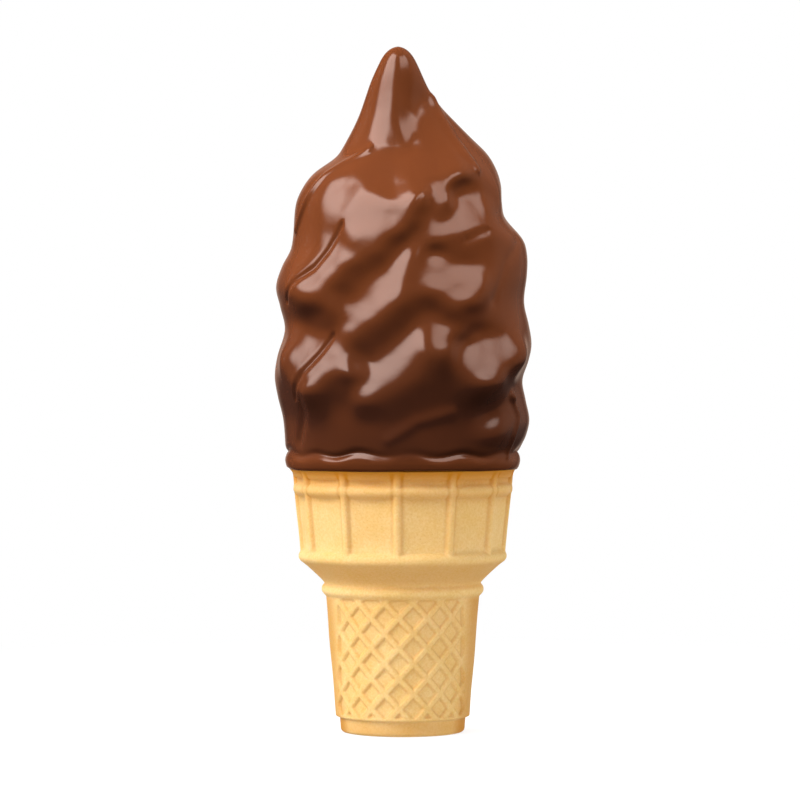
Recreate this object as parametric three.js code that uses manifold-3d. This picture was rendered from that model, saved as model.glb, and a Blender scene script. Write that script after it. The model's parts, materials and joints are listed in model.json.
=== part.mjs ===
// A soft serve ice cream, piped in a spiral and dipped in chocolate, in a flat-bottomed wafer cup.
// Millimetres, +Z up. The origin is the centre of the wafer's base, on the surface that it stands on.
// The front faces -Y. An azimuth is in degrees, 0 at the front and growing towards +X.
import * as THREE from "three";
import { mergeVertices } from "three/addons/utils/BufferGeometryUtils.js";
import Module from "manifold-3d";

// ---------- driving dimensions ----------

const TOTAL_HEIGHT = 175;
const GAP = 0.3; // between the chocolate and the wafer

const WAFER = {
  segments: 36, // faces round the axis, a multiple of the ribs
  topZ: 67.6,
  base: { radius: 15.8, corner: 0.8, height: 3.8, widening: 0.3 },
  recess: { radius: 12.4, depth: 1, slope: 0.4 },
  barrel: { bottomZ: 4.1, bottomRadius: 17.1, topZ: 35.1, topRadius: 19.8, corner: 0.4 },
  neckRing: { z: 36.6, radius: 20.75, halfHeight: 1.5, stand: 0.9 },
  funnel: { bottomZ: 38.4, bottomRadius: 20.05, bendZ: 41, bendRadius: 22.45 },
  waistRing: { z: 45.1, radius: 26.65, halfHeight: 1.4, stand: 0.75 },
  collar: { bottomZ: 46.6, bottomRadius: 25.55, topZ: 66.8, topRadius: 27.5, coreRadius: 24.3, sunk: 0.8 },
  collarRing: { z: 62.3, radius: 27.95, halfHeight: 1.5, stand: 1.2 },
  lip: { bottomZ: 66, bottomRadius: 27.6, flareZ: 67, flareRadius: 28.65, radius: 28.8, roundness: 0.4 },
  beadMargin: 0.3, // between a bead's edge and the plain wall inside the collar
};

const RIBS = { count: 12, radius: 1, proud: 0.4, sides: 8, firstAzimuth: -3, below: 1, short: 0.2 };

const LATTICE = {
  azimuth: -3, // middle of the front panel; the back panel is opposite
  halfWidth: 3.71, // of one diamond, round the barrel
  halfHeight: 3.85,
  firstZ: 34.1, // centre of the top diamond in the middle column
  columns: 5, // each side of the middle
  rows: 5,
  ridge: 0.8, // width of a ridge's top
  depth: 0.6,
  flare: 0.75, // how much wider a pocket gets, each side, for each millimetre outwards
  reach: 0.3, // of the cutting shape beyond the barrel's skin
  panelHalfWidth: 16.3,
  panelBottomZ: 4.6,
  panelTopZ: 34.9,
  panelDepth: 80, // of the box that cuts both panels out of the field of pockets
};

// The swirl's outline as height and radius: at the left, at the right, and in the middle, front and back.
const OUTLINE = {
  left: [
    [66, 29.2], [72, 29.9], [80, 30.6], [86, 32], [91, 32.7], [96, 32.1], [103, 30.2], [109, 31.4],
    [114, 32.3], [119, 30.9], [124, 28.5], [135, 27.3], [139.5, 25.4], [143, 22.6], [147, 17.2],
    [150, 14.9], [158, 10], [166.4, 6.8], [170.5, 4.9], [176, 2],
  ],
  right: [
    [66, 29.2], [72, 29.9], [76, 31.6], [80, 32.4], [85, 31.5], [90, 30.7], [95, 32.2], [99, 32.9],
    [104, 32.3], [110, 31.1], [117, 31.8], [122, 31.8], [126, 30.7], [131.5, 26.2], [135, 25.4],
    [140, 25.1], [144, 23.9], [148, 21.6], [152, 17.9], [156, 14.3], [160, 10.8], [164, 8], [170.5, 4.9],
    [176, 2],
  ],
  middle: [
    [66, 29.2], [76, 30.6], [92, 31.6], [110, 31.4], [120, 30.6], [130, 28.3], [136, 26.6], [140, 24.6],
    [144, 20.6], [148, 16.9], [152, 14.4], [158, 10.9], [163, 8.4], [170.5, 4.9], [176, 2],
  ],
};

// The peak is a rounded cap, and leans to the left and to the front.
const PEAK = { roundness: 5.2, opening: 40, blend: 2, aside: -1.2, asideFrom: 146, asideTo: 162 };
const PEAK_FORWARD = [
  [130, 0],
  [142, 0],
  [151, 0.8],
  [159, -0.4],
  [168, -2.4],
  [172, -2.7],
  [176, -2.7],
];

// The sides and the back run in even coils and ridges, which come in over these azimuths on either side.
const BACK = { from: 85, to: 125 };

// The rope of ice cream, laid in a spiral that rises to the right.
const COIL = {
  pitch: 21.1, // rise in one turn
  grooveZ: 84.6, // height of a groove between two turns, at the front
  tilt: 2.5, // how far the turns sit lower on the right than a true helix
  sag: 1, // and lower at the front than at the back
  depth: 1.9,
  level: 0.4, // share of the depth at which the outline runs
  fadeFrom: 130,
  fadeTo: 150,
};

// The nozzle's ridges, which lean to the right as they rise.
const RIDGES = {
  count: 9,
  azimuth: -12, // of one ridge at the height z
  z: 112.6,
  lean: 1.55, // degrees round for each millimetre up
  height: 2.4,
  level: 0.55, // share of the height at which the outline runs
  unevenness: 0.5, // of the spacing at the back, in radians of a ridge's turn
  unevenHeight: 9,
  fadeFrom: 118,
  fadeTo: 140,
  footFrom: 74,
  footTo: 92,
};

// The lobes and hollows of the front, where the turns were cut and pulled as they were laid: a path over the
// skin as [azimuth, height], with its half width and its rise.
const FORMS = [
  { name: "lowest lobe", path: [[-4, 89], [16, 97]], width: 4.5, rise: 1.7 },
  { name: "lowest lobe on the right", path: [[34, 89], [50, 92], [60, 97]], width: 5.5, rise: 3 },
  { name: "lowest lobe on the left", path: [[-50, 88], [-40, 89]], width: 5, rise: 1.4 },
  { name: "hollow between the lowest lobes", path: [[-22, 97], [-8, 99]], width: 4, rise: -1.5 },
  { name: "middle lobe", path: [[12, 110], [34, 111]], width: 5, rise: 1.2 },
  { name: "hollow right of the middle lobe", path: [[38, 103], [50, 102]], width: 4, rise: -1.2 },
  { name: "under the top turn", path: [[-32, 112], [-12, 118], [4, 122], [32, 121]], width: 6, rise: -2 },
  { name: "groove left of it", path: [[-50, 118], [-40, 132]], width: 5, rise: -0.7 },
  { name: "top turn", path: [[0, 134], [10, 136]], width: 3.5, rise: 1.2 },
  { name: "hollow right of the top turn", path: [[26, 137], [42, 137]], width: 4, rise: -1 },
  { name: "right shoulder", path: [[52, 132], [68, 137]], width: 4, rise: 0.9 },
  { name: "foot of the peak", path: [[-34, 142], [-10, 141]], width: 4, rise: -1.5 },
  { name: "skirt of the peak", path: [[14, 148], [42, 146]], width: 4.5, rise: 1.5 },
  { name: "hollow beside the peak", path: [[20, 157], [40, 157]], width: 3.5, rise: -0.9 },
  { name: "bulge over the rim", path: [[46, 75], [56, 76]], width: 4, rise: 1.4 },
];

// Chocolate that pooled on the wafer's rim.
const BEAD = { z: 69.4, radius: 30.1, halfHeight: 2.2, depth: 1.1, blend: 1 };
const BEAD_LEVELS = [0, 0.5, 1.2, 2.1, 3, 4, 5.2]; // above the underside

const SKIN = { segments: 66, rings: 40, firstRing: 7, crowding: 1.25 };

const MATERIALS = {
  chocolate: new THREE.MeshStandardMaterial({ color: 0x5c2e1c, roughness: 0.18, metalness: 0 }),
  wafer: new THREE.MeshStandardMaterial({ color: 0xe6b870, roughness: 0.8, metalness: 0 }),
};

// ---------- helpers ----------

const radians = THREE.MathUtils.degToRad;
const smoothstep = THREE.MathUtils.smoothstep;
const wasm = await Module();
wasm.setup();

// A closed three.js geometry as a solid that can be cut and joined.
function solid(geometry) {
  const bare = geometry.index ? geometry.toNonIndexed() : geometry.clone();
  bare.deleteAttribute("normal");
  bare.deleteAttribute("uv");
  const merged = mergeVertices(bare, 1e-4);
  return new wasm.Manifold(
    new wasm.Mesh({
      numProp: 3,
      vertProperties: merged.attributes.position.array,
      triVerts: new Uint32Array(merged.index.array),
    }),
  );
}

function geometryOf(manifold) {
  const mesh = manifold.getMesh();
  const geometry = new THREE.BufferGeometry();
  geometry.setAttribute("position", new THREE.BufferAttribute(mesh.vertProperties, 3));
  geometry.setIndex(new THREE.BufferAttribute(mesh.triVerts, 1));
  geometry.computeVertexNormals();
  return geometry;
}

// A profile of [radius, height] pairs turned round Z. Vertex 0 of the turn lies at the given azimuth.
function turned(profile, segments, azimuth = 0) {
  const points = profile.map(([radius, z]) => new THREE.Vector2(radius, z));
  const geometry = new THREE.LatheGeometry(points, segments);
  return geometry.rotateX(Math.PI / 2).rotateZ(radians(azimuth));
}

// Points of a half-round bead that stands proud of a wall, from its lower edge to its upper edge.
function beadProfile({ z, radius, halfHeight, stand }, steps = 3) {
  return Array.from({ length: steps + 1 }, (_, i) => {
    const turn = Math.PI * (i / steps - 0.5);
    return [radius - stand * (1 - Math.cos(turn)), z + halfHeight * Math.sin(turn)];
  });
}

// A quarter round from one [radius, height] to another, bulging towards `corner`.
function roundCorner(from, corner, to, steps = 3) {
  const curve = new THREE.QuadraticBezierCurve(
    new THREE.Vector2(...from),
    new THREE.Vector2(...corner),
    new THREE.Vector2(...to),
  );
  return curve.getPoints(steps).map((p) => [p.x, p.y]);
}

// The value at x of the smooth curve through [x, value] stations (cubic, with Catmull-Rom slopes).
function through(stations, x) {
  const last = stations.length - 1;
  const i = THREE.MathUtils.clamp(stations.findIndex(([at]) => at > x) - 1, 0, last - 1);
  const slope = (k) => {
    const [before, after] = [stations[Math.max(k - 1, 0)], stations[Math.min(k + 1, last)]];
    return (after[1] - before[1]) / (after[0] - before[0]);
  };
  const [[x0, y0], [x1, y1]] = [stations[i], stations[i + 1]];
  const span = x1 - x0;
  const t = (x - x0) / span;
  const [t2, t3] = [t * t, t * t * t];
  return (
    (2 * t3 - 3 * t2 + 1) * y0 +
    (t3 - 2 * t2 + t) * span * slope(i) +
    (3 * t2 - 2 * t3) * y1 +
    (t3 - t2) * span * slope(i + 1)
  );
}

// The larger of two lengths, with the step between them rounded over about `blend` millimetres.
function softMax(a, b, blend) {
  const h = Math.max(blend - Math.abs(a - b), 0) / blend;
  return Math.max(a, b) + (h * h * blend) / 4;
}

// ---------- wafer cup ----------

// The round parts: foot, barrel, three beads, funnel and lip. The collar's core is hidden in its facets.
function waferTurned() {
  const { base, recess, barrel, funnel, collar, collarRing, lip, topZ, beadMargin } = WAFER;
  return turned(
    [
      [0, recess.depth],
      [recess.radius - recess.slope, recess.depth],
      [recess.radius, 0],
      ...roundCorner([base.radius - base.corner, 0], [base.radius, 0], [base.radius, base.corner], 2),
      [base.radius + base.widening, base.height],
      ...roundCorner([barrel.bottomRadius - barrel.corner, base.height], [barrel.bottomRadius, base.height],
        [barrel.bottomRadius, base.height + barrel.corner], 2),
      ...beadProfile(WAFER.neckRing),
      [funnel.bottomRadius, funnel.bottomZ],
      [funnel.bendRadius, funnel.bendZ],
      ...beadProfile(WAFER.waistRing),
      [collar.coreRadius, collar.bottomZ],
      [collar.coreRadius, collarRing.z - collarRing.halfHeight - beadMargin],
      ...beadProfile(collarRing),
      [collar.coreRadius, collarRing.z + collarRing.halfHeight + beadMargin],
      [collar.coreRadius, lip.bottomZ - beadMargin],
      [lip.bottomRadius, lip.bottomZ],
      [lip.flareRadius, lip.flareZ],
      ...roundCorner([lip.radius, topZ - lip.roundness], [lip.radius, topZ],
        [lip.radius - lip.roundness, topZ], 2),
      [0, topZ],
    ],
    WAFER.segments,
    LATTICE.azimuth,
  );
}

// The collar's flat panels: a tapered prism with a corner under each rib.
function waferPanels() {
  const { bottomZ, bottomRadius, topZ, topRadius, sunk } = WAFER.collar;
  return turned(
    [
      [0, bottomZ - sunk],
      [bottomRadius, bottomZ - sunk],
      [topRadius, topZ],
      [0, topZ],
    ],
    RIBS.count,
    RIBS.firstAzimuth,
  );
}

// One rounded rib, a rod that leans with the collar's corner and is sunk into it.
function waferRib(azimuth) {
  const { bottomZ, bottomRadius, topZ, topRadius } = WAFER.collar;
  const sunk = RIBS.radius - RIBS.proud;
  const [low, high] = [bottomZ - RIBS.below, topZ - RIBS.short];
  const lean = Math.atan2(topRadius - bottomRadius, topZ - bottomZ);
  const length = (high - low) / Math.cos(lean);
  const rod = new THREE.CylinderGeometry(RIBS.radius, RIBS.radius, length, RIBS.sides);
  rod.rotateX(Math.PI / 2).rotateX(lean);
  rod.translate(0, -((bottomRadius + topRadius) / 2 - sunk), (low + high) / 2);
  return rod.rotateZ(radians(azimuth));
}

// One diamond pocket: a four-sided frustum, wider outwards, bent round the barrel.
function latticePocket(column, z) {
  const { bottomZ, bottomRadius, topZ, topRadius } = WAFER.barrel;
  const { halfWidth, halfHeight, ridge, depth, flare, reach } = LATTICE;
  const taper = (topRadius - bottomRadius) / (topZ - bottomZ);
  const radiusAt = (height) => bottomRadius + taper * (height - bottomZ);
  const frustum = new THREE.CylinderGeometry(1, 1, 1, 4);
  const position = frustum.attributes.position;
  for (let i = 0; i < position.count; i++) {
    const outward = position.getY(i) > 0 ? reach : -depth; // from the barrel's skin
    const margin = Math.SQRT2 * (ridge / 2 - flare * outward);
    const round = column * halfWidth + position.getX(i) * (halfWidth - margin);
    const height = z - position.getZ(i) * (halfHeight - margin);
    const radius = radiusAt(height) + outward;
    const angle = round / radiusAt(z);
    position.setXYZ(i, radius * Math.sin(angle), -radius * Math.cos(angle), height);
  }
  return frustum;
}

// Both lattice panels: every pocket that falls in the panel's window, on the front and on the back.
function latticePockets() {
  const { columns, rows, halfHeight, firstZ, panelHalfWidth, panelBottomZ, panelTopZ, panelDepth } = LATTICE;
  let pockets = null;
  for (let column = -columns; column <= columns; column++) {
    for (let row = 0; row < rows; row++) {
      const z = firstZ - halfHeight * (2 * row + (Math.abs(column) % 2));
      const pocket = solid(latticePocket(column, z));
      const both = pocket.add(pocket.rotate([0, 0, 180]));
      pockets = pockets ? pockets.add(both) : both;
    }
  }
  const windowHeight = panelTopZ - panelBottomZ;
  const panelWindow = new THREE.BoxGeometry(2 * panelHalfWidth, panelDepth, windowHeight);
  panelWindow.translate(0, 0, panelBottomZ + windowHeight / 2);
  return pockets.intersect(solid(panelWindow)).rotate([0, 0, LATTICE.azimuth]);
}

function waferGeometry() {
  let wafer = solid(waferTurned()).add(solid(waferPanels()));
  for (let i = 0; i < RIBS.count; i++) {
    wafer = wafer.add(solid(waferRib(RIBS.firstAzimuth + (360 / RIBS.count) * i)));
  }
  return geometryOf(wafer.subtract(latticePockets()));
}

// ---------- chocolate-dipped swirl ----------

// A wave between 0 and 1, 0 at every whole number of turns.
const wave = (turns) => 0.5 - 0.5 * Math.cos(2 * Math.PI * turns);

// How far the rope bulges at a height and azimuth: 0 in the groove between two turns, 1 at mid turn.
function coilBulge(azimuth, z) {
  const around = radians(azimuth);
  const laidLower = COIL.tilt * Math.sin(around) - COIL.sag * (1 - Math.cos(around));
  const groove = COIL.grooveZ + (COIL.pitch * azimuth) / 360 - laidLower;
  return wave((z - groove) / COIL.pitch);
}

// The nozzle's ridges: 0 in a groove, 1 on a crest.
function ridgeCrest(azimuth, z) {
  const around = radians(azimuth);
  const back = 0.5 - 0.5 * Math.cos(around);
  const past = azimuth - RIDGES.azimuth - RIDGES.lean * (z - RIDGES.z);
  const uneven = RIDGES.unevenness * back * Math.sin(3 * around + z / RIDGES.unevenHeight);
  return 1 - wave((RIDGES.count * radians(past) + uneven) / (2 * Math.PI));
}

// The outline's radius: the middle one at the front and back, and the left or right one at the sides.
function outlineRadius(azimuth, z) {
  const sine = Math.sin(radians(azimuth));
  const side = through(sine < 0 ? OUTLINE.left : OUTLINE.right, z);
  return THREE.MathUtils.lerp(through(OUTLINE.middle, z), side, sine ** 2);
}

// A form's rise at a point of the skin: highest on its path, and falling off as a bell curve beside it.
function formRise(form, azimuth, z) {
  const perDegree = radians(through(OUTLINE.middle, z));
  let nearest = Infinity;
  for (let i = 1; i < form.path.length; i++) {
    const [[fromAzimuth, fromZ], [toAzimuth, toZ]] = [form.path[i - 1], form.path[i]];
    const along = new THREE.Vector2((toAzimuth - fromAzimuth) * perDegree, toZ - fromZ);
    const point = new THREE.Vector2((azimuth - fromAzimuth) * perDegree, z - fromZ);
    const share = THREE.MathUtils.clamp(point.dot(along) / along.lengthSq(), 0, 1);
    nearest = Math.min(nearest, point.distanceTo(along.multiplyScalar(share)));
  }
  return form.rise * Math.exp(-((nearest / form.width) ** 2));
}

// Radius of the swirl's skin: its outline, raised by the forms, and by the coils and ridges of the back.
function swirlRadius(azimuth, z) {
  const coilFade = 1 - smoothstep(z, COIL.fadeFrom, COIL.fadeTo);
  const coil = COIL.depth * (coilBulge(azimuth, z) - COIL.level) * coilFade;
  const ridgeFade = 1 - smoothstep(z, RIDGES.fadeFrom, RIDGES.fadeTo);
  const ridgeFoot = smoothstep(z, RIDGES.footFrom, RIDGES.footTo);
  const ridge = RIDGES.height * (ridgeCrest(azimuth, z) - RIDGES.level) * ridgeFade * ridgeFoot;
  const atBack = smoothstep(Math.abs(azimuth), BACK.from, BACK.to);
  const forms = FORMS.reduce((sum, form) => sum + formRise(form, azimuth, z), 0);
  const piped = outlineRadius(azimuth, z) + atBack * (coil + ridge) + forms;
  const below = Math.max(TOTAL_HEIGHT - z, 0);
  const cap = Math.sqrt(2 * PEAK.roundness * below) + below ** 2 / PEAK.opening;
  const skin = -softMax(-piped, -cap, PEAK.blend);
  const bead = BEAD.radius - BEAD.depth * ((z - BEAD.z) / BEAD.halfHeight) ** 2;
  return z < BEAD.z + 2 * BEAD.halfHeight ? softMax(skin, bead, BEAD.blend) : skin;
}

// Heights of the rings of faces: close at the bead, then closer and closer towards the peak.
function swirlLevels() {
  const underside = WAFER.topZ + GAP;
  const beadLevels = BEAD_LEVELS.map((up) => underside + up);
  const from = underside + SKIN.firstRing;
  const upper = Array.from(
    { length: SKIN.rings },
    (_, i) => from + (TOTAL_HEIGHT - from) * (1 - (1 - i / SKIN.rings) ** SKIN.crowding),
  );
  return [...beadLevels, ...upper];
}

// The columns of faces lean as the ridges do.
function swirlGeometry() {
  const levels = swirlLevels();
  const geometry = turned([[0, levels[0]], ...levels.map((z) => [1, z]), [0, TOTAL_HEIGHT]], SKIN.segments);
  const position = geometry.attributes.position;
  for (let i = 0; i < position.count; i++) {
    const z = position.getZ(i);
    const onAxis = Math.hypot(position.getX(i), position.getY(i)) < 0.5;
    const column = THREE.MathUtils.radToDeg(Math.atan2(position.getX(i), -position.getY(i)));
    const azimuth = THREE.MathUtils.euclideanModulo(column + RIDGES.lean * z + 180, 360) - 180;
    const radius = onAxis ? 0 : swirlRadius(azimuth, z);
    const aside = PEAK.aside * smoothstep(z, PEAK.asideFrom, PEAK.asideTo);
    const forward = z > PEAK_FORWARD[0][0] ? through(PEAK_FORWARD, z) : 0;
    const around = radians(azimuth);
    position.setXY(i, radius * Math.sin(around) + aside, forward - radius * Math.cos(around));
  }
  return geometryOf(solid(geometry));
}

// ---------- the part ----------

function piece(name, geometry, material) {
  const mesh = new THREE.Mesh(geometry, material);
  mesh.name = name;
  return mesh;
}

const cone = new THREE.Group();
cone.add(piece("wafer_cup", waferGeometry(), MATERIALS.wafer));
cone.add(piece("dipped_soft_serve", swirlGeometry(), MATERIALS.chocolate));

export default cone;
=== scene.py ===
"""A soft serve ice cream dipped in chocolate, in a flat-bottomed wafer cup, with its small studio.

Sizes inside the functions are in millimetres and go into the meshes in metres. +Z is up and the front
faces -Y. An azimuth is in degrees, 0 at the front and growing towards +X.
"""

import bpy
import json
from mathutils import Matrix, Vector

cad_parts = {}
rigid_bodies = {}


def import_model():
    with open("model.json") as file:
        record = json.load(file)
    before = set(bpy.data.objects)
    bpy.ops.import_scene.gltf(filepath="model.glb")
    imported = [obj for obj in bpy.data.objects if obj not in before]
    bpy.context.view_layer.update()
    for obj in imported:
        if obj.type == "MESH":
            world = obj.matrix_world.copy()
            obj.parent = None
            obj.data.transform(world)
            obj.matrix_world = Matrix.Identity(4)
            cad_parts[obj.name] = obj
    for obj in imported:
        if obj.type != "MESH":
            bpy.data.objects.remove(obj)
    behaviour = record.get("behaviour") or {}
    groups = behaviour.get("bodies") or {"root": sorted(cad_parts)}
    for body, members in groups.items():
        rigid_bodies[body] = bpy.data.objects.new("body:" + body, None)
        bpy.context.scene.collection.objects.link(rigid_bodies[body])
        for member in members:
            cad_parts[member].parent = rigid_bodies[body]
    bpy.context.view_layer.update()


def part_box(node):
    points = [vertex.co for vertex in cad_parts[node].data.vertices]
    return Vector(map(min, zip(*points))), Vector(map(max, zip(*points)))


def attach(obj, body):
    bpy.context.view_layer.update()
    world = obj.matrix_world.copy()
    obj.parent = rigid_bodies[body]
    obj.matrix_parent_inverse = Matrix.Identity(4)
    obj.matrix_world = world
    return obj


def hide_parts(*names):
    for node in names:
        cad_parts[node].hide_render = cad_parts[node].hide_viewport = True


bl_info = {
    "name": "Dipped Soft Serve",
    "version": (1, 0, 0),
    "blender": (4, 5, 0),
    "location": "3D View > Sidebar > Soft Serve",
    "description": "Builds a chocolate-dipped soft serve in a moulded wafer cup, with a pale studio",
    "category": "Add Mesh",
}

import json
import math
from functools import reduce
from types import SimpleNamespace as Sizes

import bpy
import numpy as np
from bpy.props import FloatProperty, FloatVectorProperty, IntProperty, PointerProperty
from mathutils import Vector

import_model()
MM = 0.001
CUP_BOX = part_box("wafer_cup")
SWIRL_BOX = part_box("dipped_soft_serve")


# ---------- properties ----------


def length(name, description, millimetres):
    """A length property whose default is given in millimetres."""
    return FloatProperty(
        name=name, description=description, default=millimetres * MM, min=0, unit="LENGTH", precision=4
    )


def whole(name, description, default):
    """A property that counts what repeats round the part."""
    return IntProperty(name=name, description=description, default=default, min=3)


def colour(name, description, default):
    """A linear colour property."""
    return FloatVectorProperty(
        name=name, description=description, default=default, size=3, min=0, max=1, subtype="COLOR"
    )


class WaferSettings(bpy.types.PropertyGroup):
    """Sizes and colours of the wafer cup."""

    height: length("Height", "Height of the cup up to its lip", CUP_BOX[1].z / MM)
    foot_radius: length("Foot radius", "Radius of the flat foot", 15.8)
    foot_height: length("Foot height", "Height of the foot under the barrel", 3.9)
    barrel_radius_low: length("Barrel radius, low", "Radius at the barrel's lower edge", 17.1)
    barrel_radius_high: length("Barrel radius, high", "Radius under the neck bead", 19.8)
    collar_radius_low: length("Collar radius, low", "Radius of the collar's corners, low down", 25.55)
    collar_radius_high: length("Collar radius, high", "Radius of the collar's corners, high up", 27.5)
    lip_radius: length("Lip radius", "Radius of the flared lip under the chocolate", 28.9)
    rib_count: whole("Ribs", "Number of the collar's flat panels and ribs", 12)
    rib_radius: length("Rib radius", "Radius of one rounded rib", 1.15)
    rib_proud: length("Rib height", "How far a rib stands proud of its corner", 0.65)
    lattice_depth: length("Lattice depth", "Depth of a diamond pocket", 0.65)
    lattice_ridge: length("Lattice ridge", "Width of the top of a lattice ridge", 0.9)
    pale: colour("Pale wafer", "Colour of the palest wafer", (0.92, 0.65, 0.30))
    golden: colour("Golden wafer", "Colour of the wafer where it took more heat", (0.80, 0.48, 0.13))
    # Also the colour of the painted shade in the funnel, under the beads and the chocolate, on the sides and
    # in the lattice's hollows, besides real browning and the pores.
    toast_and_shade_colour: colour("Toasted wafer", "Colour of the hottest wafer and of the pores", (0.54, 0.20, 0.012))


class SwirlSettings(bpy.types.PropertyGroup):
    """Sizes and colours of the dipped swirl."""

    height: length("Top", "Height of the peak above the surface that the cup stands on", SWIRL_BOX[1].z / MM)
    underside: length("Underside", "Height of the swirl's underside, on the lip", SWIRL_BOX[0].z / MM)
    coil_pitch: length("Coil pitch", "Rise of the piped rope in one turn", 21.1)
    coil_depth: length("Coil depth", "Depth of the groove between two turns", 1.9)
    ridge_count: whole("Ridges", "Number of the nozzle's ridges", 9)
    ridge_height: length("Ridge height", "Height of one ridge at the back", 2.4)
    peak_radius: length("Peak radius", "Roundness of the peak", 5.2)
    milk: colour("Chocolate", "Colour of the chocolate coat", (0.172, 0.0445, 0.0130))
    # Also the colour of the painted shade low down and under the lobes.
    dark: colour("Thick chocolate", "Colour where the coat is thick", (0.067, 0.0200, 0.0100))
    roughness: FloatProperty(
        name="Roughness", description="Roughness of the coat", default=0.14, min=0, max=1, subtype="FACTOR"
    )


class StudioSettings(bpy.types.PropertyGroup):
    """Camera and floor."""

    distance: length("Camera distance", "From the cup's axis to the camera", 950)
    camera_height: length("Camera height", "Height of the camera", 98)
    aside: length("Camera aside", "How far the camera stands to the left of the axis", 0.69)
    pitch: FloatProperty(
        name="Pitch",
        description="How far down the camera looks",
        default=math.radians(0.788),
        subtype="ANGLE",
    )
    lens: FloatProperty(name="Lens", description="Focal length in millimetres", default=166.86, min=1)
    floor_radius: length("Floor radius", "Radius of the pale floor", 6000)


# ---------- shape functions on arrays ----------


def smoothstep(x, low, high):
    """0 below `low`, 1 above `high`, and the cubic 3t^2 - 2t^3 between them."""
    t = np.clip((x - low) / (high - low), 0, 1)
    return t * t * (3 - 2 * t)


def through(stations, x):
    """The smooth curve through (x, value) stations: cubic Hermite pieces with Catmull-Rom slopes."""
    xs, ys = np.array(stations, float).T
    slopes = np.empty_like(ys)
    slopes[1:-1] = (ys[2:] - ys[:-2]) / (xs[2:] - xs[:-2])
    slopes[0] = (ys[1] - ys[0]) / (xs[1] - xs[0])
    slopes[-1] = (ys[-1] - ys[-2]) / (xs[-1] - xs[-2])
    i = np.clip(np.searchsorted(xs, x, side="right") - 1, 0, len(xs) - 2)
    span = xs[i + 1] - xs[i]
    t = (x - xs[i]) / span
    return (
        (2 * t**3 - 3 * t**2 + 1) * ys[i]
        + (t**3 - 2 * t**2 + t) * span * slopes[i]
        + (3 * t**2 - 2 * t**3) * ys[i + 1]
        + (t**3 - t**2) * span * slopes[i + 1]
    )


def soft_max(a, b, blend):
    """The larger of two lengths, raised by up to blend/4 where they are equal, as a fillet between them."""
    near = np.maximum(blend - np.abs(a - b), 0) / blend
    return np.maximum(a, b) + near * near * blend / 4


def wave(turns):
    """0 at every whole turn and 1 half a turn on, as half of 1 - cos."""
    return 0.5 - 0.5 * np.cos(2 * np.pi * turns)


def row_heights(stations, top):
    """Heights of rows up to, and without, `top`: from each station's height on, about its step apart."""
    ends = [*(low for low, _ in stations[1:]), top]
    return np.concatenate(
        [
            np.linspace(low, high, max(round((high - low) / step), 1), endpoint=False)
            for (low, step), high in zip(stations, ends)
        ]
    )


# ---------- meshes ----------


def turned_mesh(name, radius, azimuth, height, shift=None):
    """A closed mesh from rows of points round Z: row by row from the bottom pole to the top pole.

    A point lies at (r sin(azimuth), -r cos(azimuth), z), moved by shift in x and y. The first and the last
    row have no radius and become one vertex each, joined to their neighbours by fans. Faces point outwards.
    """
    rows, columns = radius.shape
    turn = np.radians(azimuth)
    points = np.stack([radius * np.sin(turn), -radius * np.cos(turn), height + 0 * radius], axis=-1)
    if shift is not None:
        points[..., 0] += shift[0]
        points[..., 1] += shift[1]
    ring = points[1:-1].reshape(-1, 3)
    vertices = np.concatenate([points[:1, 0], ring, points[-1:, 0]]) * MM
    index = 1 + np.arange((rows - 2) * columns).reshape(rows - 2, columns)
    after = np.roll(index, -1, axis=1)
    quads = np.stack([index[:-1], after[:-1], after[1:], index[1:]], axis=-1).reshape(-1, 4)
    bottom = np.stack([0 * index[0], after[0], index[0]], axis=-1)
    top = np.stack([index[-1], after[-1], 0 * index[-1] + len(vertices) - 1], axis=-1)
    mesh = bpy.data.meshes.new(name)
    mesh.from_pydata(vertices, [], [*quads.tolist(), *bottom.tolist(), *top.tolist()])
    mesh.polygons.foreach_set("use_smooth", np.ones(len(mesh.polygons), bool))
    mesh.update()
    piece = bpy.data.objects.new(name, mesh)
    bpy.context.scene.collection.objects.link(piece)
    return piece


def point_values(piece, name, rows):
    """Keeps one number for each point as a mesh attribute, in the order that turned_mesh gives the points."""
    values = np.concatenate([rows[0, :1], rows[1:-1].ravel(), rows[-1, :1]]).astype(np.float32)
    piece.data.attributes.new(name, "FLOAT", "POINT").data.foreach_set("value", values)


# ---------- node trees ----------


def add_node(tree, kind, inputs=(), **settings):
    """A shader node with its settings, and its inputs by name or number, each a value or an output socket."""
    node = tree.nodes.new("ShaderNode" + kind)
    for key, value in settings.items():
        setattr(node, key, value)
    for key, value in dict(inputs).items():
        if isinstance(value, bpy.types.NodeSocket):
            tree.links.new(value, node.inputs[key])
        else:
            node.inputs[key].default_value = value
    return node


def calculate(tree, operation, *values):
    """The output of a Math node."""
    return add_node(tree, "Math", dict(enumerate(values)), operation=operation).outputs[0]


def ramp(tree, value, low, high, start=0.0, end=1.0):
    """The output of a Map Range node that eases from `start` at `low` to `end` at `high`."""
    inputs = {"Value": value, "From Min": low, "From Max": high, "To Min": start, "To Max": end}
    return add_node(tree, "MapRange", inputs, interpolation_type="SMOOTHSTEP").outputs[0]


def blend_colours(tree, factor, first, second):
    """The output of a Mix node between two colours."""
    sockets = {
        number: value if isinstance(value, bpy.types.NodeSocket) else (*value, 1)
        for number, value in ((6, first), (7, second))
    }
    return add_node(tree, "Mix", {0: factor, **sockets}, data_type="RGBA").outputs[2]


def millimetre_coordinates(tree):
    """Object coordinates in millimetres, so that a texture's scale is a number of features for each one."""
    place = add_node(tree, "TexCoord").outputs["Object"]
    return add_node(tree, "Mapping", {"Vector": place, "Scale": (1 / MM, 1 / MM, 1 / MM)}).outputs[0]


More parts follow.
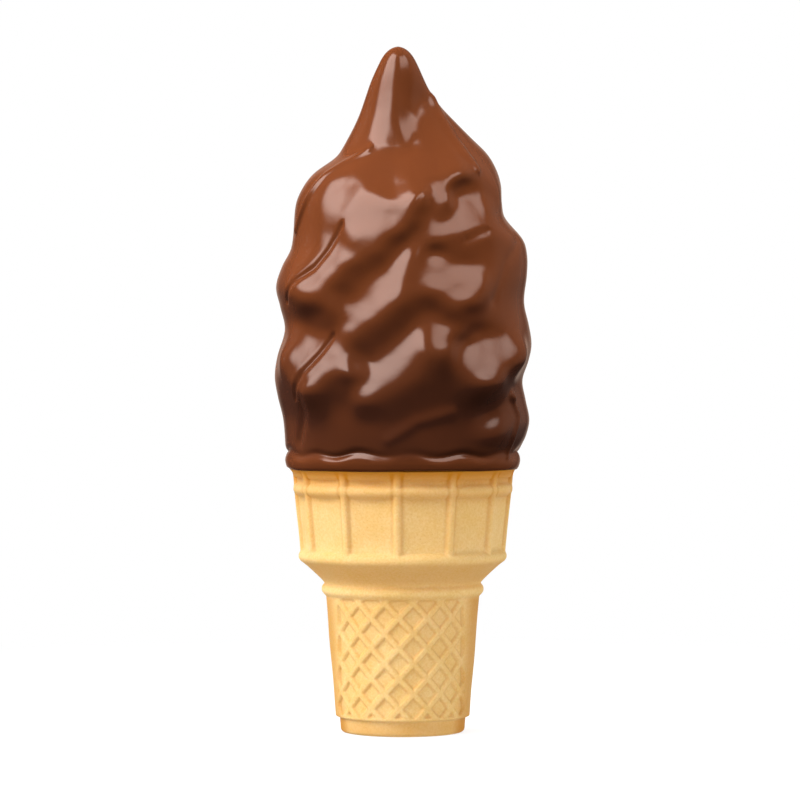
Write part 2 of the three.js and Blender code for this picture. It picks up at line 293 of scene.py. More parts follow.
def noise(tree, place, scale, detail=2.0, roughness=0.5):
    """The factor of a Noise texture, about 0.5 on average."""
    inputs = {"Vector": place, "Scale": scale, "Detail": detail, "Roughness": roughness}
    return add_node(tree, "TexNoise", inputs).outputs[0]


def attribute(tree, name):
    """The values that point_values kept under this name."""
    return add_node(tree, "Attribute", attribute_name=name).outputs["Fac"]


def bump(tree, height, strength, distance):
    """The normal of a Bump node whose height of 1 stands for `distance` millimetres."""
    inputs = {"Height": height, "Strength": strength, "Distance": distance * MM}
    return add_node(tree, "Bump", inputs).outputs[0]


def new_material(name):
    """A material with an empty node tree, and that tree."""
    material = bpy.data.materials.new(name)
    material.use_nodes = True
    material.node_tree.nodes.clear()
    return material, material.node_tree


def finish_material(tree, inputs):
    """Ends a material's tree in a Principled shader with these inputs."""
    shader = add_node(tree, "BsdfPrincipled", inputs)
    add_node(tree, "OutputMaterial", {"Surface": shader.outputs[0]})


# ---------- wafer cup ----------

UNDERSIDE = Sizes(recess_radius=12.4, recess_depth=1.0, corner=0.9)
FOOT = Sizes(taper=0.3, step_from=-0.25, step_to=0.35)  # the step to the barrel, from the foot's height
NECK_BEAD = Sizes(z=36.6, radius=20.75, half_height=1.55, stand=0.95)
WAIST_BEAD = Sizes(z=45.1, radius=26.65, half_height=1.5, stand=1.0)
COLLAR_BEAD = Sizes(z=62.3, radius=28.0, half_height=1.6, stand=1.1)
FUNNEL = Sizes(bottom_z=38.1, bottom_radius=19.9, top_z=43.9, top_radius=26.0, hollow=1.12)
LIP = Sizes(from_z=65.2, flare_z=67.3, from_radius=27.7, flare=1.5, rounding=0.4)
RIB_FALL = 3  # how steeply a rib's side goes on down beyond its arc, under the panel
FILLET = Sizes(rib=0.35, bead=0.5, lip=0.6)
LATTICE = Sizes(
    azimuth=-3,  # middle of the front panel; the back panel is opposite
    half_width=3.71,  # of one diamond, round the barrel
    half_height=3.85,
    first_z=34.1,  # middle of the top diamond in the middle column
    flank=0.8,  # width of a ridge's sloping side
    panel_half_width=16.3,  # seen straight on
    panel_bottom_z=4.7,
    panel_top_z=34.9,
    panel_edge=0.45,
)
MOULD_WAVE = 0.045
WAFER_COLUMNS = 520
CORNER_ROWS = [0.0, 0.08, 0.25, 0.5, 0.9]
# Rows of the wall, close together on the lattice, the beads and the lip: from which height, how far apart.
WAFER_ROWS = [
    (1.6, 0.9), (3.4, 0.15), (4.6, 0.31), (35, 0.28), (38.4, 0.7), (43.4, 0.26), (47, 1.2), (60.2, 0.26),
    (64.4, 0.35),
]
# How much of the toasting colour the wafer has at each height: most in the funnel and beside the chocolate,
# where it is painted shade under the collar and under the chocolate's overhang, with some real browning.
TOAST_AND_SHADE = [
    (0, 0.4), (3, 0.34), (5, 0.1), (20, 0.08), (35, 0.14), (36.6, 0.0), (38.2, 0.24), (40, 0.44),
    (43.5, 0.38), (45, 0.06), (50, 0.1), (58, 0.16), (60.5, 0.42), (61.5, 0.4), (62.8, 0.25), (64, 0.5),
    (65.5, 0.75), (67, 0.95), (68, 1),
]
# Painted shade in the toasting colour: on the plain bands at the sides beside the lattice, with some real
# browning, on the slopes of the pockets and in the corners beside each rib.
BAND_TOAST_AND_SHADE = Sizes(across=(0.8, 0.97), top=(34, 36), toast=0.5)
POCKET_SHADE = Sizes(barrel_taper=0.085, toast=0.95)
RIB_SHADE = Sizes(aside=2.6, width=0.9, foot=(46, 48), toast=0.26)  # degrees from the corner
WAFER_GRAIN = Sizes(patches=0.12, grain=1.7, pores=1.1, pits=3.2)  # how many for each millimetre


def bead(z, size):
    """Radius of a bead: the full radius at its middle, falling by `stand` at its edges and on beyond them."""
    away = np.abs(z - size.z) / size.half_height
    return size.radius - size.stand * away**2.4


def from_corner(settings, azimuth):
    """The angle to the nearest of the collar's corners, at most half a panel."""
    panel = 360 / settings.rib_count
    return np.abs((azimuth - LATTICE.azimuth + panel / 2) % panel - panel / 2)


def collar_radius(settings, azimuth, z):
    """The collar: a tapered prism with a rounded rib on each corner.

    Between two corners the flat panel lies at R cos(half) / cos(angle from the panel's middle). A rib is
    an arc of its own radius, so it rises to sqrt(rib^2 - across^2) above a centre sunk into the corner.
    """
    low, high = settings.collar_radius_low / MM, settings.collar_radius_high / MM
    corner = low + (high - low) * (z - WAIST_BEAD.z) / (LIP.from_z - WAIST_BEAD.z)
    half, aside = 180 / settings.rib_count, from_corner(settings, azimuth)
    flat = corner * math.cos(math.radians(half)) / np.cos(np.radians(half - aside))
    rib_radius, proud = settings.rib_radius / MM, settings.rib_proud / MM
    across = corner * np.radians(aside)
    arc = np.sqrt(np.maximum(rib_radius**2 - across**2, 0)) - RIB_FALL * np.maximum(across - rib_radius, 0)
    return soft_max(flat, corner + proud - rib_radius + arc, FILLET.rib)


def lattice_pocket(settings, azimuth, z, barrel):
    """Depth of the diamond pockets, 0 on the ridges between them.

    Two families of ridges cross: (u + v)/2 and (u - v)/2 pass a half at each ridge, with u counted in
    half diamonds round the barrel and v upwards. The distance to the nearest ridge gives the depth.
    """
    half_width, half_height = LATTICE.half_width, LATTICE.half_height
    turn = (azimuth - LATTICE.azimuth + 90) % 180 - 90
    u, v = np.radians(turn) * barrel / half_width, (z - LATTICE.first_z) / half_height
    rising, falling = (u - v) / 2, (u + v) / 2
    to_ridge = 0.5 - np.maximum(np.abs(rising - np.round(rising)), np.abs(falling - np.round(falling)))
    spacing = 2 * half_width * half_height / math.hypot(half_width, half_height)
    ridge = settings.lattice_ridge / MM / 2
    depth = settings.lattice_depth / MM * smoothstep(to_ridge * spacing, ridge, ridge + LATTICE.flank)
    inside = LATTICE.panel_half_width - np.abs(barrel * np.sin(np.radians(turn)))
    inside = np.minimum(inside, np.minimum(z - LATTICE.panel_bottom_z, LATTICE.panel_top_z - z))
    return depth * smoothstep(inside, 0, LATTICE.panel_edge)


def wafer_wall(settings, azimuth, z):
    """Radius of the cup's outer wall: foot, barrel, funnel, collar and lip by height, joined to the beads."""
    foot_height, corner = settings.foot_height / MM, UNDERSIDE.corner
    foot = settings.foot_radius / MM + FOOT.taper * z / foot_height
    foot -= corner - np.sqrt(np.maximum(corner**2 - np.maximum(corner - z, 0) ** 2, 0))
    low, high = settings.barrel_radius_low / MM, settings.barrel_radius_high / MM
    barrel = low + (high - low) * (z - foot_height) / (NECK_BEAD.z - foot_height)
    step = smoothstep(z, foot_height + FOOT.step_from, foot_height + FOOT.step_to)
    plain = foot + (barrel - foot) * step - lattice_pocket(settings, azimuth, z, barrel)
    climb = np.clip((z - FUNNEL.bottom_z) / (FUNNEL.top_z - FUNNEL.bottom_z), 0, 1)
    funnel = FUNNEL.bottom_radius + (FUNNEL.top_radius - FUNNEL.bottom_radius) * climb**FUNNEL.hollow
    plain = np.where(z > NECK_BEAD.z, funnel, plain)
    plain = np.where(z > WAIST_BEAD.z, collar_radius(settings, azimuth, z), plain)
    flare = ((z - LIP.from_z) / (LIP.flare_z - LIP.from_z)).clip(0, 1)
    lip = LIP.from_radius + (settings.lip_radius / MM - LIP.from_radius) * flare**LIP.flare
    plain = np.where(z >= LIP.from_z, soft_max(plain, lip, FILLET.lip), plain)
    for size in (NECK_BEAD, WAIST_BEAD, COLLAR_BEAD):
        plain = soft_max(plain, bead(z, size), FILLET.bead)
    return plain


def mould_unevenness(azimuth, z):
    """Small slow waves over the surface, crossing ones round the cup and along it, up to 0.09 mm."""
    turn = np.radians(azimuth)
    crossing = MOULD_WAVE * np.sin(5 * turn + z / 4.1) * np.sin(z / 6.3 + 1)
    return crossing + MOULD_WAVE * np.sin(8 * turn - z / 3.2 + 2)


def wafer_mesh(settings):
    """The cup: its recessed underside, its outer wall and its top, which the chocolate hides, as rows."""
    azimuth = np.arange(WAFER_COLUMNS)[None, :] * 360 / WAFER_COLUMNS
    top = settings.height / MM
    z = np.concatenate([CORNER_ROWS, row_heights(WAFER_ROWS, top)])[:, None]
    wall = wafer_wall(settings, azimuth, z) + mould_unevenness(azimuth, z) * smoothstep(z, 2, 6)
    recess, depth = UNDERSIDE.recess_radius, UNDERSIDE.recess_depth
    before = np.array([[0, depth], [6, depth], [recess - 0.5, depth], [recess, 0.3], [recess + 0.4, 0]])
    edge = wall[-1:].mean()
    after = np.array([[edge - 0.1, top - 0.15], [edge - LIP.rounding, top], [edge / 2, top], [0, top]])
    radius = np.concatenate([before[:, :1] + 0 * azimuth, wall, after[:, :1] + 0 * azimuth])
    return radius, azimuth, np.concatenate([before[:, 1:], z, after[:, 1:]])


def toast_and_shade_share(settings, azimuth, height):
    """How much of the toasting colour the wafer has: partly real browning, partly painted shade.

    It goes by the height, with painted shade in the funnel and under the beads and the chocolate's overhang,
    and there is more as painted shade on the plain bands at the sides beside the lattice, on the slopes of
    its pockets, steepest half way down, and in the corners beside each rib, as the bell curve exp(-d^2).
    """
    across = np.abs(np.sin(np.radians(azimuth - LATTICE.azimuth)))
    band = smoothstep(across, *BAND_TOAST_AND_SHADE.across) * (1 - smoothstep(height, *BAND_TOAST_AND_SHADE.top))
    barrel = settings.barrel_radius_low / MM + POCKET_SHADE.barrel_taper * height
    sunk = lattice_pocket(settings, azimuth, height, barrel) / (settings.lattice_depth / MM)
    aside = (from_corner(settings, azimuth) - RIB_SHADE.aside) / RIB_SHADE.width
    beside_rib = np.exp(-(aside**2)) * smoothstep(height, *RIB_SHADE.foot)
    # Painted shade in the hollows: on the slopes of the pockets and beside the ribs.
    crevice_shade = POCKET_SHADE.toast * sunk * (1 - sunk) + RIB_SHADE.toast * beside_rib
    return np.clip(through(TOAST_AND_SHADE, height) + BAND_TOAST_AND_SHADE.toast * band + crevice_shade, 0, 1)


def wafer_material(settings):
    """Baked wafer: a pale crumb with golden patches and dark pores, rough and finely pitted."""
    material, tree = new_material("baked_wafer")
    place = millimetre_coordinates(tree)
    patches = ramp(tree, noise(tree, place, WAFER_GRAIN.patches, 3), 0.3, 0.75)
    grain = ramp(tree, noise(tree, place, WAFER_GRAIN.grain, 4, 0.65), 0.3, 0.7)
    pores = add_node(tree, "TexVoronoi", {"Vector": place, "Scale": WAFER_GRAIN.pores}).outputs["Distance"]
    pore = ramp(tree, pores, 0.12, 0.3, 1, 0)
    golden = calculate(tree, "MULTIPLY_ADD", patches, 0.35, calculate(tree, "MULTIPLY", grain, 0.5))
    base = blend_colours(tree, golden, settings.pale, settings.golden)
    base = blend_colours(tree, calculate(tree, "MULTIPLY", pore, 0.1), base, settings.toast_and_shade_colour)
    # Painted shade, with some real browning, in the toasting colour.
    base = blend_colours(tree, attribute(tree, "toast"), base, settings.toast_and_shade_colour)
    pits = noise(tree, place, WAFER_GRAIN.pits, 3, 0.6)
    pits = calculate(tree, "MULTIPLY_ADD", pits, 0.7, calculate(tree, "MULTIPLY", pore, -0.6))
    inputs = {
        "Base Color": base,
        "Roughness": 0.72,
        "IOR": 1.4,
        "Specular IOR Level": 0.15,
        "Subsurface Weight": 0.25,
        "Subsurface Radius": (2.0, 1.0, 0.4),
        "Subsurface Scale": 1 * MM,
        "Normal": bump(tree, pits, 0.5, 0.12),
    }
    finish_material(tree, inputs)
    return material


class MESH_OT_wafer_cup(bpy.types.Operator):
    """Build the moulded wafer cup"""

    bl_idname = "mesh.wafer_cup"
    bl_label = "Wafer Cup"

    def execute(self, context):
        settings = context.scene.soft_serve_wafer
        radius, azimuth, height = wafer_mesh(settings)
        piece = turned_mesh("wafer", radius, azimuth, height)
        # Browning and painted shade, kept for the material.
        point_values(piece, "toast", toast_and_shade_share(settings, azimuth, height))
        piece.data.materials.append(wafer_material(settings))
        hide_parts("wafer_cup")
        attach(piece, "root")
        return {"FINISHED"}


# ---------- chocolate-dipped swirl ----------

# The outline as height and radius, as seen at the left, at the right, and the middle one for front and back.
OUTLINE_LEFT = [
    (66, 29.2), (72, 29.9), (80, 30.6), (86, 32.0), (91, 32.7), (96, 32.1), (103, 30.2), (109, 31.4),
    (114, 32.3), (119, 30.9), (124, 28.5), (135, 27.3), (139.5, 25.4), (143, 22.6), (147, 17.2), (150, 14.9),
    (158, 10.0), (166.4, 6.8), (170.5, 4.9), (176, 2.0),
]
OUTLINE_RIGHT = [
    (66, 29.2), (72, 29.9), (76, 31.6), (80, 32.4), (85, 31.5), (90, 30.7), (95, 32.2), (99, 32.9),
    (104, 32.3), (110, 31.1), (117, 31.8), (122, 31.8), (126, 30.7), (131.5, 26.2), (135, 25.4), (140, 25.1),
    (144, 23.9), (148, 21.6), (152, 17.9), (156, 14.3), (160, 10.8), (164, 8.0), (170.5, 4.9), (176, 2.0),
]
OUTLINE_MIDDLE = [
    (66, 29.2), (76, 30.6), (92, 31.6), (110, 31.4), (120, 30.6), (130, 28.3), (136, 26.6), (140, 24.6),
    (144, 20.6), (148, 16.9), (152, 14.4), (158, 10.9), (163, 8.4), (170.5, 4.9), (176, 2.0),
]
LEAN_ASIDE = Sizes(x=-1.2, from_z=146, to_z=162)
LEAN_FORWARD = [(130, 0.0), (142, 0.0), (150, 1.0), (158, -0.9), (166, -3.1), (172, -4.7), (176, -5.2)]
COIL = Sizes(groove_z=84.6, tilt=2.5, sag=1.0, level=0.4, fade=(130, 150))
RIDGES = Sizes(azimuth=-12, z=112.6, lean=1.55, level=0.55, fade=(118, 140), foot=(74, 92))
BACK = (85, 125)  # the azimuths, on both sides, over which the even coils of the back come in
CAP = Sizes(spread=40, blend=2)
RIM_BEAD = Sizes(z=69.8, radius=30.1, half_height=2.2, below=3, depth=1.1, wave=0.8, blend=0.5)
RIM_CREASE = Sizes(above=1.5, half_height=1.1, depth=0.15, deeper=0.9, spacing=60)
# Waves of the rim's bead and of the edge that laps over the lip: size, number round the swirl, phase.
RIM_WAVES = [(0.6, 14, 0.6), (0.4, 5, 2.2)]
LAP = Sizes(drop=0.45, waves=[(0.14, 3, 1), (0.08, 7, 0)])
COLUMNS = Sizes(count=432, crowding=0.3)  # closer together at the front
ROWS = Sizes(rim_step=0.28, turns_z=76, turns_step=0.55, peak_z=150, peak_count=60, crowding=1.7)

# How the skin faces along a stroke: the name of a soft box that it mirrors to the front, or its own range of
# azimuths, None for any, and of elevations.
FACINGS = {
    "level": (None, (-3, 5)),
    "down": (None, (-30, -12)),
    "up": (None, (43, 60)),
    "aside": ((32, 50), (0, 30)),
    "ahead": ((-9, 2), (10, 60)),
}
# The relief of the front as strokes, seen from the front: how the skin faces along each, its path as x and z,
# its half width, and how strongly it counts.
STROKES = {
    "small glint of the peak": ("small box", [(2.5, 155.5), (1, 151)], 0.7, 1),
    "beside the small glint": ("level", [(0, 168), (-0.5, 158), (-1, 151)], 1.2, 0.6),
    "foot of the peak": ("ahead", [(-4, 150.5), (2.5, 150.5)], 1.5, 1),
    "slope right of the peak": ("up", [(8.5, 159.5), (7, 155.5), (5.5, 146.5), (3.5, 139)], 2, 1),
    "shoulder top": ("up", [(-17.5, 143.5), (-12, 146)], 1, 1),
    "upper shoulder": ("key", [(-15, 142.5), (-17, 138.5), (-18.5, 135.5)], 2, 1),
    "over the dome": ("up", [(-12, 144), (-7.5, 140.5), (-2, 137.5)], 1.8, 0.8),
    "dome": ("key", [(0.5, 131.5), (-6, 129.5), (-11.5, 128), (-14, 129)], 1.8, 1),
    "saddle of the dome": ("key", [(-13, 134.5), (-2.5, 134)], 1.3, 1),
    "dome foot": ("level", [(-3.5, 126), (-8.5, 125.5)], 1.3, 0.7),
    "notch under the dome": ("level", [(-10.5, 126), (-13, 124)], 1, 0.8),
    "left lobe": ("key", [(-16.5, 124.5), (-20.5, 119), (-25, 113)], 2.6, 1),
    "long lobe": ("key", [(1, 123.5), (-1.5, 119), (-6, 113), (-11, 108), (-15.5, 102)], 1.3, 1.2),
    "tail of the long lobe": ("key", [(-17, 99.5), (-20, 94), (-23.5, 89)], 1.3, 1.5),
    "beside the long lobe": ("level", [(4.8, 122), (3.3, 113)], 0.8, 1),
    "lower lobe": ("key", [(2.5, 100.5), (-3.5, 93.5), (-11, 86.5)], 1.2, 1.2),
    "left edge of the lower turn": ("key", [(-23, 98.5), (-27, 95)], 1.8, 0.7),
    "upper right, narrow": ("small box", [(10, 138), (8.5, 127)], 1.5, 2),
    "upper right, wide": ("small box", [(19.5, 135.5), (15, 133.5), (14, 128.5)], 1.8, 2),
    "middle right, narrow": ("small box", [(9, 122), (7.5, 114)], 1.8, 2),
    "middle right, wide": ("small box", [(20, 117), (11.5, 117), (14.5, 110)], 2.6, 2),
    "lower right, narrow": ("small box", [(10.5, 104.5), (9, 98.5)], 1.8, 1),
    "lower right, wide": ("small box", [(27, 98.5), (17, 97.5), (20, 90.5)], 2.3, 2),
    "low right swelling": ("small box", [(24, 79.5), (22, 78.5)], 0.8, 0.4),
    "valley over the long lobe": ("down", [(-6, 121.5), (-12.5, 118.5), (-17, 112.5)], 1.8, 0.8),
    "valley right of the dome": ("down", [(6, 135.5), (3, 129.5), (-0.5, 125)], 1.3, 1),
    "notch on the right": ("level", [(12.5, 126), (20, 123.5)], 1.3, 1),
    "dent at the upper right": ("down", [(11, 135), (10.5, 131.5)], 0.8, 1),
    "valley under the long lobe": ("down", [(5.5, 110.5), (-0.5, 106), (-7, 101), (-11.5, 97.5)], 2.2, 1.6),
    "dent on the left": ("down", [(-20.5, 108.5), (-21.5, 104)], 1.5, 1),
    "dent left of the lower lobe": ("down", [(-13, 90.5), (-16.5, 85.5)], 1.8, 1),
    "valley under the lower lobe": ("down", [(12, 91.5), (4.5, 87), (-4.5, 81)], 2, 1),
    "foot of the swirl": ("level", [(-16, 77), (-6, 75.5), (5, 75), (14.5, 74.5)], 2.6, 1.3),
    "right side": ("level", [(26.5, 120.5), (25, 110.5), (24, 104)], 1.8, 1),
    "under the middle right": ("level", [(17, 104), (12.5, 106)], 1.3, 0.7),
    "over the middle right": ("level", [(12, 123.5), (25, 124.5)], 1.5, 1),
    "upper right side": ("aside", [(17, 144), (22, 136)], 1.5, 0.5),
    "over the upper right": ("ahead", [(6.5, 144.5), (9, 142.5), (11, 141)], 1.3, 1.4),
    "hollow over the upper right": ("down", [(12, 140.5), (17, 141.5)], 1.2, 0.7),
}
GRID = Sizes(first_azimuth=-110, azimuth_step=5, columns=45, first_z=62, z_step=2.5, rows=47)
RELIEF = Sizes(stiffness=0.12, smallness=0.002, hold=5.0, pull=4.0, spacing=1.2, rounds=3, steps=600)
HELD = Sizes(azimuths=(-105, -95, -88, 88, 95, 105), from_z=66, spacing=1.6)  # where the outlines are seen
SIGHT = Sizes(height=98, distance=950, steepest=0.97, rounds=40)  # from where the strokes are seen
ROUND_PEAK = Sizes(knots=6, folds=3)  # the least radius that arcs round the peak are counted with

# Thin folds, seen from the front: the path as x and z, the width of the line, its rise (negative for a
# groove), and how far the skin on its right, going along the path, stands above the skin on its left.
FOLDS = {
    "upper left crease": (
        [(-16, 129.5), (-17.5, 126.5), (-19.5, 123), (-23, 118.5), (-27, 115), (-29, 110)],
        0.8, -0.4, -0.35,
    ),
    "lower left crease": ([(-18.5, 101), (-21.5, 96.5), (-25, 91.5), (-26.5, 85.5)], 0.8, -0.38, -0.35),
    "crest of the left shoulder": (
        [(-8.5, 149), (-15, 145.5), (-19.5, 142.5), (-23, 138.5), (-25.5, 133.5), (-27, 128.5)],
        1.1, 0.75, 0.3,
    ),
    "skirt of the peak": ([(5, 138), (8, 143), (13, 146), (18, 146.5)], 2.6, 0, -0.18),
    "edge of the run beside the peak": (
        [(8, 162.5), (10, 157.5), (12, 152.5), (14.5, 148), (17.5, 144)], 1.2, 0.75, -0.3,
    ),
    "crease under the shoulder": ([(21, 128.5), (19, 127.5), (17, 126.5)], 1.3, -0.3, 0.2),
    "left edge": ([(-25, 90), (-25, 82.5), (-26.5, 74.5)], 1.6, -0.4, 0),
    "run on the right": ([(28, 85), (29.5, 81), (28, 75.5), (26.5, 70.5)], 1.1, 0.7, -0.1),
    "bubble": ([(27.5, 86), (28, 86)], 1.0, 0.6, 0),
    "low ridge": ([(12.5, 81.5), (3.5, 79), (-3.5, 74.5)], 1.6, 0.35, 0),
    "fold on the right": ([(29.5, 126), (27, 120.5), (23.5, 110.5)], 1.5, -0.35, 0),
}
# Painted shade under the lobes: the overhang over which it grows, and the heights over which it comes in.
SHADE_UNDER_LOBES = Sizes(overhang=(-0.05, 0.6), foot=(72, 76))
COAT = Sizes(patches=0.06, waves=0.35)  # how many for each millimetre
# How dark the coat is: thicker in random patches, with painted shade under the lobes where the skin faces
# down, and painted shade low down as two heights and two shares, less on the rim bead.
THICK_AND_SHADED = Sizes(patches=0.12, pooled=0.9, low=(72, 120, 0.65, 0), rim=(69.5, 72.5, 0.2, 1))


def coil_bulge(settings, azimuth, z):
    """The piped rope: 0 in the groove between two turns and 1 at mid turn, by a groove that climbs round."""
    turn = np.radians(azimuth)
    pitch = settings.coil_pitch / MM
    rise = pitch * azimuth / 360 - COIL.tilt * np.sin(turn) + COIL.sag * (1 - np.cos(turn))
    return wave((z - rise - COIL.groove_z) / pitch)


def ridge_crest(settings, azimuth, z):
    """The nozzle's ridges: 0 in a groove and 1 on a crest, leaning as they rise, less even at the back."""
    turn = np.radians(azimuth)
    uneven = 0.5 * wave(azimuth / 360) * np.sin(3 * turn + z / 9)
    leaning = azimuth - RIDGES.azimuth - RIDGES.lean * (z - RIDGES.z)
    return 1 - wave((settings.ridge_count * np.radians(leaning) + uneven) / (2 * np.pi))


def lean(z):
    """How far the middle of the swirl lies aside (x) and back (y) at a height, as the peak leans."""
    aside = LEAN_ASIDE.x * smoothstep(z, LEAN_ASIDE.from_z, LEAN_ASIDE.to_z)
    return aside, through(LEAN_FORWARD, np.clip(z, LEAN_FORWARD[0][0], LEAN_FORWARD[-1][0]))


def close_peak(settings, skin, z):
    """Closes the skin at the top by a cap of radius sqrt(2 R d) + d^2 / spread at a depth d below it."""
    below = np.maximum(settings.height / MM - z, 0)
    cap = np.sqrt(2 * settings.peak_radius / MM * below) + below**2 / CAP.spread
    return -soft_max(-skin, -cap, CAP.blend)


def plain_radius(settings, azimuth, z):
    """The skin without the front's relief: the outline, and the even coils and ridges of the back.

    The outline goes from the middle one to the side ones by the square of the azimuth's sine.
    """
    sine = np.sin(np.radians(azimuth))
    side = np.where(sine < 0, through(OUTLINE_LEFT, z), through(OUTLINE_RIGHT, z))
    outline = through(OUTLINE_MIDDLE, z) * (1 - sine**2) + side * sine**2
    bulge = coil_bulge(settings, azimuth, z)
    coil = settings.coil_depth / MM * (bulge - COIL.level) * (1 - smoothstep(z, *COIL.fade))
    crest = settings.ridge_height / MM * (ridge_crest(settings, azimuth, z) - RIDGES.level)
    crest = crest * (1 - smoothstep(z, *RIDGES.fade)) * smoothstep(z, *RIDGES.foot)
    at_back = smoothstep(np.abs((azimuth + 180) % 360 - 180), *BACK)
    return close_peak(settings, outline + at_back * (coil + crest), z)


def onto_skin(settings, x, z):
    """The azimuth and height on the plain skin of a point seen at (x, z) on the axis' plane."""
    azimuth, height = 0 * x, z
    for _ in range(SIGHT.rounds):
        radius = plain_radius(settings, azimuth, height)
        aside, forward = lean(height)
        nearer = (SIGHT.distance + forward - radius * np.cos(np.radians(azimuth))) / SIGHT.distance
        height = SIGHT.height + (z - SIGHT.height) * nearer
        sine = np.clip((x * nearer - aside) / radius, -SIGHT.steepest, SIGHT.steepest)
        azimuth = (azimuth + np.degrees(np.arcsin(sine))) / 2
    return azimuth, height


def spline_weights(places, first, spacing):
    """Knot numbers, weights and slopes of the four cubic B-splines that reach each place."""
    at = (places - first) / spacing
    knot = np.floor(at).astype(int)
    t = at - knot
    weights = [(1 - t) ** 3, 3 * t**3 - 6 * t**2 + 4, -3 * t**3 + 3 * t**2 + 3 * t + 1, t**3]
    slopes = [-((1 - t) ** 2), 3 * t**2 - 4 * t, -3 * t**2 + 2 * t + 1, t**2]
    numbers = knot[..., None] + np.arange(-1, 3)
    return numbers, np.stack(weights, axis=-1) / 6, np.stack(slopes, axis=-1) / 2 / spacing


def relief_knots(azimuth, z):
    """For each place: the numbers of its 16 knots, and their weights for the value and for its two slopes."""
    across, across_weights, across_slopes = spline_weights(azimuth, GRID.first_azimuth, GRID.azimuth_step)
    up, up_weights, up_slopes = spline_weights(z, GRID.first_z, GRID.z_step)
    across, up = across.clip(0, GRID.columns - 1), up.clip(0, GRID.rows - 1)
    shape = *up.shape[:-1], 16

    def joined(first, second):
        return (first[..., :, None] * second[..., None, :]).reshape(shape)

    return (
        (across[..., :, None] * GRID.rows + up[..., None, :]).reshape(shape),
        joined(across_weights, up_weights),
        joined(across_slopes, up_weights) * math.degrees(1),  # for each radian
        joined(across_weights, up_slopes),
    )


def relief_bends():
    """The bends of the relief: second differences along, up and across, per mm, as knots and weights."""
    number = np.arange(GRID.columns * GRID.rows).reshape(GRID.columns, GRID.rows)
    heights = GRID.first_z + GRID.z_step * np.arange(GRID.rows)
    heights = heights.clip(OUTLINE_MIDDLE[0][0], OUTLINE_MIDDLE[-1][0])
    middle = np.maximum(through(OUTLINE_MIDDLE, heights), ROUND_PEAK.knots)
    arc = middle * math.radians(GRID.azimuth_step) + 0 * number
    bends = [
        ((number[:-2], number[1:-1], number[2:]), (1, -2, 1), arc[1:-1] ** 2),
        ((number[:, :-2], number[:, 1:-1], number[:, 2:]), (1, -2, 1), GRID.z_step**2 + 0 * arc[:, 1:-1]),
        (
            (number[:-1, :-1], number[1:, :-1], number[:-1, 1:], number[1:, 1:]),
            (1, -1, -1, 1),
            arc[1:, 1:] * GRID.z_step / math.sqrt(2),
        ),
    ]
    for knots, signs, size in bends:
        stiffness = math.sqrt(RELIEF.stiffness) / size.ravel()
        yield np.stack([each.ravel() for each in knots], axis=1), np.outer(stiffness, signs)


def least_squares(parts, targets, start):
    """The x that makes the sum of (A x - b)^2 least, by conjugate gradients on A'A x = A'b.

    Each part of A is knots and weights: a row of it is the sum of its weights times x at its knots. The
    steps are scaled by the diagonal of A'A.
    """

    def back(values):
        return sum(
            np.bincount(knots.ravel(), (weights * value[:, None]).ravel(), len(start))
            for (knots, weights), value in zip(parts, values)
        )

    def ahead(x):
        return [(weights * x[knots]).sum(axis=1) for knots, weights in parts]

    diagonal = sum(np.bincount(knots.ravel(), (weights**2).ravel(), len(start)) for knots, weights in parts)
    x = start.copy()
    left = back([target - value for target, value in zip(targets, ahead(x))])
    scaled = left / diagonal
    direction, size = scaled, left @ scaled
    goal = 1e-10 * size
    for _ in range(RELIEF.steps):
        pushed = back(ahead(direction))
        step = size / (direction @ pushed)
        x = x + step * direction
        left = left - step * pushed
        scaled = left / diagonal
        before, size = size, left @ scaled
        if size < goal:
            break
        direction = scaled + size / before * direction
    return x


def stroke_places(settings, path, half_width):
    """Places spread evenly over a stroke of this half width, as azimuth and height on the skin."""
    seen = []
    for (from_x, from_z), (to_x, to_z) in zip(path[:-1], path[1:]):
        span = math.hypot(to_x - from_x, to_z - from_z)
        along = np.linspace(0, 1, max(2, int(span / RELIEF.spacing) + 1))[:, None]
        aside = np.linspace(-0.85, 0.85, 2 * max(1, int(half_width)) + 1) * half_width / span
        x = from_x + (to_x - from_x) * along - (to_z - from_z) * aside
        z = from_z + (to_z - from_z) * along + (to_x - from_x) * aside
        seen.append(np.stack([x.ravel(), z.ravel()]))
    return onto_skin(settings, *np.concatenate(seen, axis=1))


def unit(azimuth, elevation):
    """The direction at an azimuth and an elevation in degrees."""
    turn, climb = np.radians(azimuth), np.radians(elevation)
    return np.stack([np.sin(turn) * np.cos(climb), -np.cos(turn) * np.cos(climb), np.sin(climb)], axis=-1)


def angles(direction):
    """The azimuth and elevation in degrees of directions of any length."""
    x, y, z = np.moveaxis(direction, -1, 0)
    return np.degrees(np.arctan2(x, -y)), np.degrees(np.arctan2(z, np.hypot(x, y)))


def nearest_facing(facing, azimuth, elevation):
    """The facing inside the wanted range that is nearest to the present one.

    For a soft box, the present facing's mirror direction, 2 (n.v) n - v with v to the front, is brought into
    the box, and the facing half way between that and the front mirrors it.
    """
    if facing in SOFT_BOXES:
        (from_azimuth, to_azimuth), (from_elevation, to_elevation) = SOFT_BOXES[facing][:2]
        front, normal = np.array([0, -1, 0]), unit(azimuth, elevation)
        mirrored, risen = angles(2 * (normal @ front)[:, None] * normal - front)
        mirrored = np.clip(mirrored, from_azimuth + BOX_MARGIN, to_azimuth - BOX_MARGIN)
        risen = np.clip(risen, from_elevation + BOX_MARGIN, to_elevation - BOX_MARGIN)
        return angles(unit(mirrored, risen) + front)
    azimuths, elevations = FACINGS[facing]
    return np.clip(azimuth, *azimuths) if azimuths else azimuth, np.clip(elevation, *elevations)


